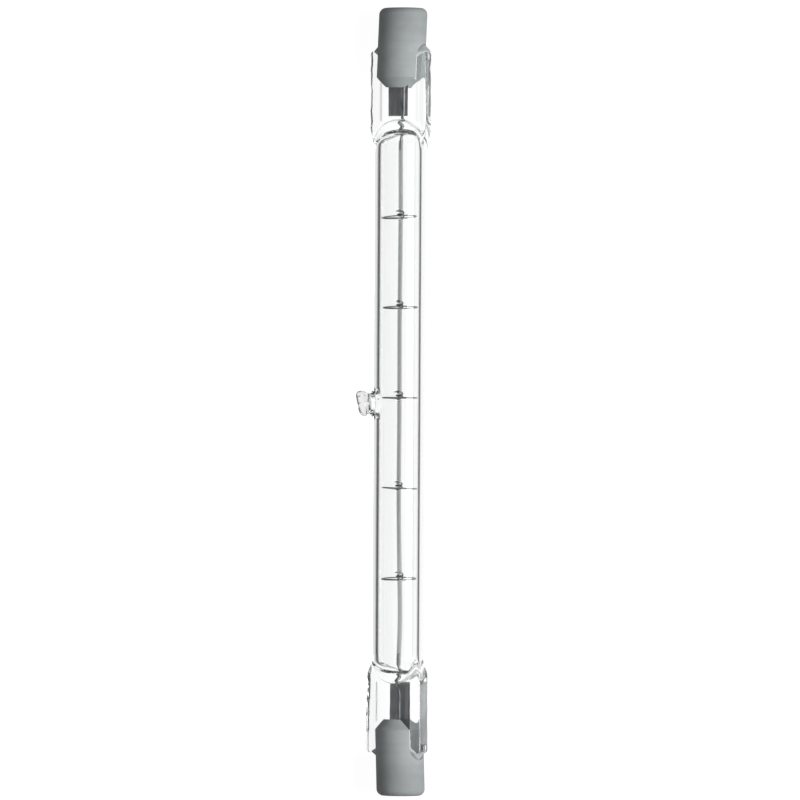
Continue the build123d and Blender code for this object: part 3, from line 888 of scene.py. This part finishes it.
# The contacts: plated steel buttons, turned with a shank. Each sits in a pocket at the bottom of
# its cap's recess, with the outer lead welded to the shank inside the cap.
CONTACT_FACE = 57.1
CONTACT_SEAT = 56.5
SEAT_CHAMFER = 0.05
HEAD_RADIUS = 1.6
HEAD_ROUND = 0.14
HEAD_ROUND_ROWS = 6
HEAD_CROWN = 0.06
HEAD_CROWN_ROWS = 10
SHANK_RADIUS = 0.9
SHANK_END_SHARE = 0.9
SHANK_CHAMFER = 0.08
SHANK_FILLET = 0.02
CONTACT_TONES = ((0.50, 0.49, 0.46), (0.68, 0.67, 0.64))
LATHE_COLUMNS = 96
LATHE_POLE = 0.02


def cap_middle(end, along):
    """Place of a cap's axis across the seal: its shift at the pivot, and its lean from there."""
    return CAP_SHIFTS[end] + CAP_LEANS[end] * (along - CAP_PIVOT)


def lathe_shell(end, reach, along):
    """A turned piece on a cap's axis, from its profile of radius and distance along."""
    angle = round_steps(LATHE_COLUMNS)[None, :]
    across = cap_middle(end, along[:, None]) + reach[:, None] * np.cos(angle)
    return closed_shell(seal_place(end, across, reach[:, None] * np.sin(angle), along[:, None]))


contact_metal = metal_finish("plated_steel", CONTACT_TONES, roughness=0.28, size=0.12, stretch=(1, 1, 1))
corner = np.linspace(0, np.pi / 2, HEAD_ROUND_ROWS)
crowned = np.linspace(1, LATHE_POLE, HEAD_CROWN_ROWS)[1:]
head_flat = HEAD_RADIUS - HEAD_ROUND
contact_reach = np.concatenate([
    [LATHE_POLE, SHANK_RADIUS * SHANK_END_SHARE],
    [SHANK_RADIUS, SHANK_RADIUS, SHANK_RADIUS],
    [HEAD_RADIUS - SEAT_CHAMFER, HEAD_RADIUS],
    head_flat + HEAD_ROUND * np.cos(corner),
    head_flat * crowned,
])
contact_along = np.concatenate([
    [SHANK_END, SHANK_END],
    [SHANK_END + SHANK_CHAMFER, CONTACT_SEAT - SHANK_FILLET, CONTACT_SEAT],
    [CONTACT_SEAT, CONTACT_SEAT + SEAT_CHAMFER],
    CONTACT_FACE - HEAD_CROWN - HEAD_ROUND * (1 - np.sin(corner)),
    CONTACT_FACE - HEAD_CROWN * crowned**2,
])
for end in ENDS:
    contact = lathe_shell(end, contact_reach, contact_along)
    make_piece(f"{end}_contact_button", [contact], f"{end}_contact", contact_metal)

# The cement: a grainy mineral paste, pressed in round each seal's end and fired hard. It fills the
# cap's slot, and a fillet of it runs from the slot's bottom to the corners of the seal.
CEMENT_STARTS = {"upper": 48.1, "lower": 48.9}
CEMENT_PLAIN_END = 51.8
CEMENT_FILLET_START = 51.9
CEMENT_END = 53.36
CEMENT_ROWS = {"plain": 10, "fillet": 40}
CEMENT_COLUMNS = 120
CEMENT_CORNER_COLUMNS = 0.22
CEMENT_HALF_WIDTHS = {"upper": 3.25, "lower": 3.2}
CEMENT_HALF_THICKNESS = 1.78
SLOT_ROUND_START = 51.6
CEMENT_SQUARENESS = 5.0
CEMENT_LUMP = 0.025
CEMENT_LUMP_PACES = (2.0, 3.1)
FILLET_SHARES = {"upper": (0.55, 0.85), "lower": (0.95, 0.3)}
FILLET_START = 52.0
FILLET_RUN = 0.3
FILLET_LEAD = 0.9
FILLET_FULL = 52.3
FILLET_END_HALF_WIDTH = 3.5
SEAL_CORNER = 4.6
SEAL_CLEARANCE = 0.02
SEAL_CUT_START = 46.0
EDGE_SEGMENTS = 3
CEMENT_EDGE_BREAK = 0.03
CEMENT_EDGE_ANGLE = np.radians(40)
CEMENT_GRAIN_TONES = ((0.78, 0.81, 0.81), (0.94, 0.96, 0.96))
CEMENT_PATCH_TONES = ((0.82, 0.85, 0.85), (0.90, 0.92, 0.92))
CEMENT_PATCH_SHARE = 0.5
CEMENT_GRAIN_DEPTH = 0.05
# Painted shade: the cement outside the slot is darkened, so that where lit it matches the shaded cement.
CEMENT_OUTER_SHADE_TONE = 0.66


def cement_shell(end):
    """Rings along the seal's end, of |across / half width|^n + |back / half thickness|^n = 1.

    The half width stays inside the cap along the slot. At the seal's end, and sooner in front of it,
    it eases out to a share of the way to the seal's corner, and falls to near the cap's radius. The
    half thickness closes as the slot's round bottom does. Waves make the surface lumpy.
    """
    plain = np.linspace(CEMENT_STARTS[end], CEMENT_PLAIN_END, CEMENT_ROWS["plain"])
    filleted = np.linspace(CEMENT_FILLET_START, CEMENT_END, CEMENT_ROWS["fillet"])
    along = np.concatenate([plain, filleted])[:, None]
    angle = round_steps(CEMENT_COLUMNS)[None, :]
    angle = angle - CEMENT_CORNER_COLUMNS * np.sin(2 * angle)
    left, right = FILLET_SHARES[end]
    share = left + (right - left) * (1 + np.cos(angle)) / 2
    corner = FILLET_END_HALF_WIDTH + (SEAL_CORNER - FILLET_END_HALF_WIDTH) * share
    falls = np.clip((along - FILLET_FULL) / (CEMENT_END - FILLET_FULL), 0, 1)
    fillet = corner + (FILLET_END_HALF_WIDTH - corner) * falls
    lead = FILLET_LEAD * (1 - np.sin(angle)) / 2
    rise = eased((along - FILLET_START + lead) / (FILLET_RUN + lead))
    wide = CEMENT_HALF_WIDTHS[end] + (fillet - CEMENT_HALF_WIDTHS[end]) * rise
    in_round = np.clip(along - SLOT_ROUND_START, 0, None)
    thick = np.sqrt(CEMENT_HALF_THICKNESS**2 - in_round**2)
    terms = np.abs(np.cos(angle) / wide) ** CEMENT_SQUARENESS
    terms = terms + np.abs(np.sin(angle) / thick) ** CEMENT_SQUARENESS
    reach = terms ** (-1 / CEMENT_SQUARENESS)
    first_wave = 5 * angle + CEMENT_LUMP_PACES[0] * along
    second_wave = CEMENT_LUMP_PACES[1] * along - 2 * angle
    reach -= CEMENT_LUMP * (1 + np.sin(first_wave) * np.sin(second_wave))
    across = cap_middle(end, along) + reach * np.cos(angle)
    return closed_shell(seal_place(end, across, reach * np.sin(angle), along))


def cut_away(piece, shell, edge_break, edge_angle):
    """Takes a closed shell's space out of a piece, and rounds the sharp edges that are left."""
    cutter = bpy.data.objects.new("cutter", shell_mesh("cutter", [shell]))
    link_object(cutter)
    cut = piece.modifiers.new("cut", "BOOLEAN")
    cut.object = cutter
    cut.solver = "EXACT"
    edge = piece.modifiers.new("edge", "BEVEL")
    edge.width = edge_break * MM
    edge.segments = EDGE_SEGMENTS
    edge.limit_method = "ANGLE"
    edge.angle_limit = edge_angle
    edge.harden_normals = True
    bpy.context.view_layer.update()
    finished = piece.evaluated_get(bpy.context.evaluated_depsgraph_get())
    piece.data = bpy.data.meshes.new_from_object(finished)
    piece.modifiers.clear()
    bpy.data.objects.remove(cutter)


cement_finish, tree, shader = new_finish("fired_cement")
grains = grain(tree, size=0.12, detail=6.0)
grain_tone = two_tone(tree, grains, CEMENT_GRAIN_TONES)
patch_tone = two_tone(tree, grain(tree, size=1.1), CEMENT_PATCH_TONES)
tone = mix_colours(tree, CEMENT_PATCH_SHARE, grain_tone, patch_tone)
set_inputs(tree, shader, {"Base_Color": tone, "Normal": relief(tree, grains, CEMENT_GRAIN_DEPTH)})
set_inputs(tree, shader, {"Roughness": 0.9, "Specular_IOR_Level": 0.2})
# Painted shade: the cement darkens outwards past the fillet's start, so the lit cement outside the slot
# is darker.
outwards = reckon(tree, "ABSOLUTE", object_place(tree)["Y"], 0.0)
shade(cement_finish, share_between(tree, outwards, FILLET_START, SEAL_END), CEMENT_OUTER_SHADE_TONE)
seal_rows = ends_y[ends_y > SEAL_CUT_START]
for end in ENDS:
    filling = cement_shell(end)
    cement = make_piece(f"{end}_cement_fill", [filling], f"{end}_cement", cement_finish)
    seal_space = closed_shell(envelope_end(end, seal_rows, SEAL_CLEARANCE))
    cut_away(cement, seal_space, CEMENT_EDGE_BREAK, CEMENT_EDGE_ANGLE)

# The caps: pressed and fired steatite, unglazed. Each has a slot for the seal, a bevelled mouth, a
# rounded end and a recess for the holder's contact pin. Painted shade darkens it towards its outer
# end, and painted light lightens it low on the right inside the slot.
CAP_RADIUS = 3.6
CAP_MOUTHS = {"upper": 46.9, "lower": 47.4}
CAP_END = 58.8
CAP_END_ROUND = 1.0
CAP_END_ROWS = 12
CAP_BEVEL_LENGTH = 1.5
CAP_BEVEL_DEPTH = 1.25
CAP_EDGE_BREAK = 0.07
CAP_EDGE_ANGLE = np.radians(28)
RECESS_RADIUS = 1.9
POCKET_CLEARANCE = 0.03
SLOT_HALF_WIDTH = 1.8
SLOT_STEPS = 33
SLOT_OVERRUN = 2.0
SLOT_REACH = 2 * CAP_RADIUS
CLOUD_TONES = ((0.478, 0.509, 0.511), (0.556, 0.594, 0.601))
FINE_TONES = ((0.456, 0.489, 0.494), (0.578, 0.611, 0.616))
FINE_SHARE = 0.4
CERAMIC_DEPTH = 0.018
# Painted shade: the caps darken towards their outer ends.
CAP_END_SHADE_START = 52.8
CAP_END_SHADE_FULL = 55.8
CAP_END_SHADE_TONE = 0.84
CAP_RING_TONE = 0.88
# Painted light: the caps are lightened low on the right inside the slot, where it lies in shade.
SLOT_LIGHT_TONE = 1.6
SLOT_TONE_END = 52.9
SLOT_TONE_TOP = 4.5
SLOT_TONE_SIDE = 1.3
SLOT_TONE_EDGE = 0.5


def slot_shell(end):
    """The space of a cap's slot: a round-bottomed outline carried right across the cap."""
    bend = np.linspace(0, np.pi, SLOT_STEPS)
    back = np.concatenate([[1], np.cos(bend), [-1]]) * SLOT_HALF_WIDTH
    along = SLOT_ROUND_START + np.sin(bend) * SLOT_HALF_WIDTH
    open_end = [CAP_MOUTHS[end] - SLOT_OVERRUN]
    along = np.concatenate([open_end, along, open_end])
    across = cap_middle(end, along[None, :]) + np.array([-SLOT_REACH, SLOT_REACH])[:, None]
    return closed_shell(seal_place(end, across, back[None, :], along[None, :]))


ceramic, tree, shader = new_finish("unglazed_steatite")
fine = grain(tree, size=0.08, detail=5.0)
clouds = grain(tree, size=2.2, stretch=(1, 0.6, 1), detail=2.0)
turning = grain(tree, size=0.3, stretch=(30, 1, 30), detail=2.0)
cloud_tone = two_tone(tree, clouds, CLOUD_TONES)
fine_tone = two_tone(tree, fine, FINE_TONES)
tone = mix_colours(tree, FINE_SHARE, cloud_tone, fine_tone)
height = reckon(tree, "ADD", fine, turning)
set_inputs(tree, shader, {"Base_Color": tone, "Normal": relief(tree, height, CERAMIC_DEPTH)})
set_inputs(tree, shader, {"Roughness": 0.72, "Specular_IOR_Level": 0.3})
# Painted light inside the slot, low on the right, where shade falls.
place = object_place(tree)
outwards = reckon(tree, "ABSOLUTE", place["Y"], 0.0)
in_slot = share_between(tree, outwards, SLOT_TONE_END, SLOT_TONE_END - SLOT_TONE_EDGE)
low = share_between(tree, place["Z"], SLOT_TONE_TOP + SLOT_TONE_EDGE, SLOT_TONE_TOP)
slot_side = AXIS_X + SLOT_TONE_SIDE
aside = share_between(tree, place["X"], slot_side - SLOT_TONE_EDGE, slot_side)
shade(ceramic, reckon(tree, "MULTIPLY", in_slot, reckon(tree, "MULTIPLY", low, aside)), SLOT_LIGHT_TONE)
# Painted shade: the colour darkens towards the cap's outer end.
shade(ceramic, share_between(tree, outwards, CAP_END_SHADE_START, CAP_END_SHADE_FULL), CAP_END_SHADE_TONE)
shade(ceramic, grain(tree, size=0.9, stretch=(40, 1, 40), detail=1.0), CAP_RING_TONE)
pocket_radius = HEAD_RADIUS + POCKET_CLEARANCE
hole_radius = SHANK_RADIUS + POCKET_CLEARANCE
bend = np.linspace(0, np.pi / 2, CAP_END_ROWS)
cap_reach = np.concatenate([
    [LATHE_POLE, CAP_RADIUS - CAP_BEVEL_DEPTH, CAP_RADIUS],
    CAP_RADIUS - CAP_END_ROUND * (1 - np.cos(bend)),
    [RECESS_RADIUS, RECESS_RADIUS, pocket_radius, pocket_radius, hole_radius],
    [hole_radius, LATHE_POLE],
])
for end, mouth in CAP_MOUTHS.items():
    cap_along = np.concatenate([
        [mouth, mouth, mouth + CAP_BEVEL_LENGTH],
        CAP_END - CAP_END_ROUND * (1 - np.sin(bend)),
        [CAP_END, CONTACT_FACE, CONTACT_FACE, CONTACT_SEAT, CONTACT_SEAT],
        [SLOT_ROUND_START, SLOT_ROUND_START],
    ])
    turned = lathe_shell(end, cap_reach, cap_along)
    cap = make_piece(f"{end}_ceramic_cap", [turned], f"{end}_cap", ceramic)
    cut_away(cap, slot_shell(end), CAP_EDGE_BREAK, CAP_EDGE_ANGLE)

# The stage: a white sheet that the lamp lies on, with a grey card on each side of the lamp, a pale
# card under its tip and two small dark flags beside the tip. The cards and flags show only through
# the quartz, whose walls they draw as dark lines, and the left card in reflections too.
SHEET_HALF = 3.0
SHEET_TONE = (0.2, 0.2, 0.2, 1)
SHEET_GLOW = 0.955
WHITE = (1, 1, 1, 1)
CARD_LENGTH = 75.0
CARD_NEAR = 3.0
CARD_FAR = 22.0
CARD_TONES = {
    "left": ((3.0, 1.0), (5.5, 0.86), (7.4, 0.35), (8.4, 0.03), (19.0, 0.03), (22.0, 0.5)),
    "right": ((3.0, 1.0), (8.0, 0.9), (9.6, 0.1), (16.0, 0.1), (20.0, 0.7), (22.0, 1.0)),
}
CARD_HEIGHT = 0.05
TIP_CARD_HALF_WIDTH = 1.6
TIP_CARD_NEAR = 6.0
TIP_CARD_HEIGHT = 0.1
TIP_CARD_GLOW = 0.85
FLAG_OFF_TIP = 4.5
FLAG_OUTLINE = ((-8.5, 0.06), (-1.8, 0.06), (-4.1, 2.36), (-4.1, 4.5), (-8.5, 4.5))
FLAG_TONE = (0.03, 0.03, 0.03, 1)


def stage_card(name, corners, finish):
    """One flat face of the stage with the given corners, in order."""
    mesh = bpy.data.meshes.new(name)
    mesh.from_pydata(corners, [], [range(len(corners))])
    mesh.materials.append(finish)
    card = bpy.data.objects.new(name, mesh)
    link_object(card)
    return card


def level_card(name, low, high, z, finish):
    """A level rectangle of the stage, facing up, between two corners."""
    corners = [(low[0], low[1], z), (high[0], low[1], z), (high[0], high[1], z), (low[0], high[1], z)]
    return stage_card(name, corners, finish)


def only_in_quartz(card, in_reflections):
    """Hides a card from all but rays through the quartz and, where asked for, reflections."""
    card.visible_camera = False
    card.visible_diffuse = False
    card.visible_glossy = in_reflections
    card.visible_shadow = False


white, tree, shader = new_finish("white_sheet")
ray = add_node(tree, "LightPath").outputs
seen = reckon(tree, "MAXIMUM", ray["Is Camera Ray"], ray["Is Glossy Ray"])
seen = reckon(tree, "MAXIMUM", seen, ray["Is Transmission Ray"])
glow = reckon(tree, "MULTIPLY", seen, SHEET_GLOW)
set_inputs(tree, shader, {"Base_Color": SHEET_TONE, "Roughness": 0.9, "Specular_IOR_Level": 0.0})
set_inputs(tree, shader, {"Emission_Color": WHITE, "Emission_Strength": glow})
level_card("white_sheet", (-SHEET_HALF, -SHEET_HALF), (SHEET_HALF, SHEET_HALF), 0.0, white)

for side, tones in CARD_TONES.items():
    sign = -1 if side == "left" else 1
    near, far = (AXIS_X + sign * CARD_NEAR) * MM, (AXIS_X + sign * CARD_FAR) * MM
    grey, tree, _ = new_finish(f"{side}_card")
    share = share_between(tree, object_place(tree)["X"], near / MM, far / MM)
    ramp = add_node(tree, "ValToRGB", Fac=share)
    stops = ramp.color_ramp.elements
    for distance, _ in tones[1:-1]:
        stops.new((distance - CARD_NEAR) / (CARD_FAR - CARD_NEAR))
    for stop, (_, tone) in zip(stops, tones):
        stop.color = (tone, tone, tone, 1)
    glow = add_node(tree, "Emission", Color=ramp.outputs["Color"], Strength=1.0)
    tree.links.new(glow.outputs[0], tree.nodes["Material Output"].inputs["Surface"])
    low, high = (min(near, far), -CARD_LENGTH * MM), (max(near, far), CARD_LENGTH * MM)
    only_in_quartz(level_card(f"{side}_card", low, high, CARD_HEIGHT * MM, grey), side == "left")

pale, tree, shader = new_finish("tip_card")
set_inputs(tree, shader, {"Base_Color": FLAG_TONE, "Emission_Color": WHITE})
set_inputs(tree, shader, {"Emission_Strength": TIP_CARD_GLOW})
low = ((AXIS_X - CARD_FAR) * MM, (TIP_Y - TIP_CARD_HALF_WIDTH) * MM)
high = ((AXIS_X - TIP_CARD_NEAR) * MM, (TIP_Y + TIP_CARD_HALF_WIDTH) * MM)
only_in_quartz(level_card("tip_card", low, high, TIP_CARD_HEIGHT * MM, pale), False)

dark, tree, shader = new_finish("tip_flag")
set_inputs(tree, shader, {"Base_Color": FLAG_TONE, "Roughness": 0.9})
for end, (_, sign) in ENDS.items():
    flag_y = TIP_Y + sign * FLAG_OFF_TIP
    outline = [((AXIS_X + x) * MM, flag_y * MM, z * MM) for x, z in FLAG_OUTLINE]
    only_in_quartz(stage_card(f"{end}_flag", outline, dark), False)

# The light: a large soft lamp from the right, a weak one from low on the left, and a dim even sky
# that looks white to the camera. Seen through the quartz the sky is darker at both its sides, and
# in reflections it is darker towards the left.
LAMP_DISTANCE = 0.6
LAMP_SIZE = 0.3
LAMP_SLOPES = {"key": np.radians(44), "fill": np.radians(-70)}
LAMP_POWERS = {"key": 2.85, "fill": 0.16}
SKY_LIGHT = 0.15
SKY_DARK_SIDE = 0.1
SKY_MIRRORED_RUN = (-0.7, 0.7)
SKY_THROUGH_RUN = (0.1, 0.5)

for name, slope in LAMP_SLOPES.items():
    light = bpy.data.lights.new(name, "AREA")
    light.energy = LAMP_POWERS[name]
    light.size = LAMP_SIZE
    lamp = bpy.data.objects.new(name, light)
    lamp.location = (np.sin(slope) * LAMP_DISTANCE, 0.0, np.cos(slope) * LAMP_DISTANCE)
    lamp.rotation_euler = (0.0, slope, 0.0)
    lamp.visible_camera = False
    lamp.visible_transmission = False
    lamp.visible_glossy = name == "key"
    link_object(lamp)

sky = bpy.data.worlds.new("sky")
sky.use_nodes = True
bpy.context.scene.world = sky
tree = sky.node_tree
ray = add_node(tree, "LightPath").outputs
direction = add_node(tree, "TexCoord").outputs["Generated"]
to_right = add_node(tree, "SeparateXYZ", Vector=direction).outputs["X"]
aside = reckon(tree, "ABSOLUTE", to_right, 0.0)
looks = {
    "Is Glossy Ray": ranged(tree, to_right, *SKY_MIRRORED_RUN, SKY_DARK_SIDE, 1.0),
    "Is Transmission Ray": ranged(tree, aside, *SKY_THROUGH_RUN, 1.0, SKY_DARK_SIDE),
    "Is Camera Ray": 1.0,
}
strength = SKY_LIGHT
for kind, look in looks.items():
    mixed = add_node(tree, "Mix")
    set_inputs(tree, mixed, {0: ray[kind], 2: strength, 3: look})
    strength = mixed.outputs[0]
set_inputs(tree, tree.nodes["Background"], {"Color": WHITE, "Strength": strength})

# The camera looks straight down from far off, so that the lying lamp stands upright in the picture
# with its upper cap at the top.
CAMERA_HEIGHT = 1.5
CAMERA_LENS = 450.8
CAMERA_SHIFT_X = 0.06
CAMERA_SHIFT_Y = 0.26
CAMERA_ROLL = np.radians(0.3)
CAMERA_SIGHT = 10.0
view = bpy.data.cameras.new("camera")
view.lens = CAMERA_LENS
view.clip_end = CAMERA_SIGHT
camera = bpy.data.objects.new("camera", view)
camera.location = ((AXIS_X + CAMERA_SHIFT_X) * MM, CAMERA_SHIFT_Y * MM, CAMERA_HEIGHT)
camera.rotation_euler = (0.0, 0.0, CAMERA_ROLL)
link_object(camera)
bpy.context.scene.camera = camera
bpy.context.scene.view_settings.view_transform = "Standard"
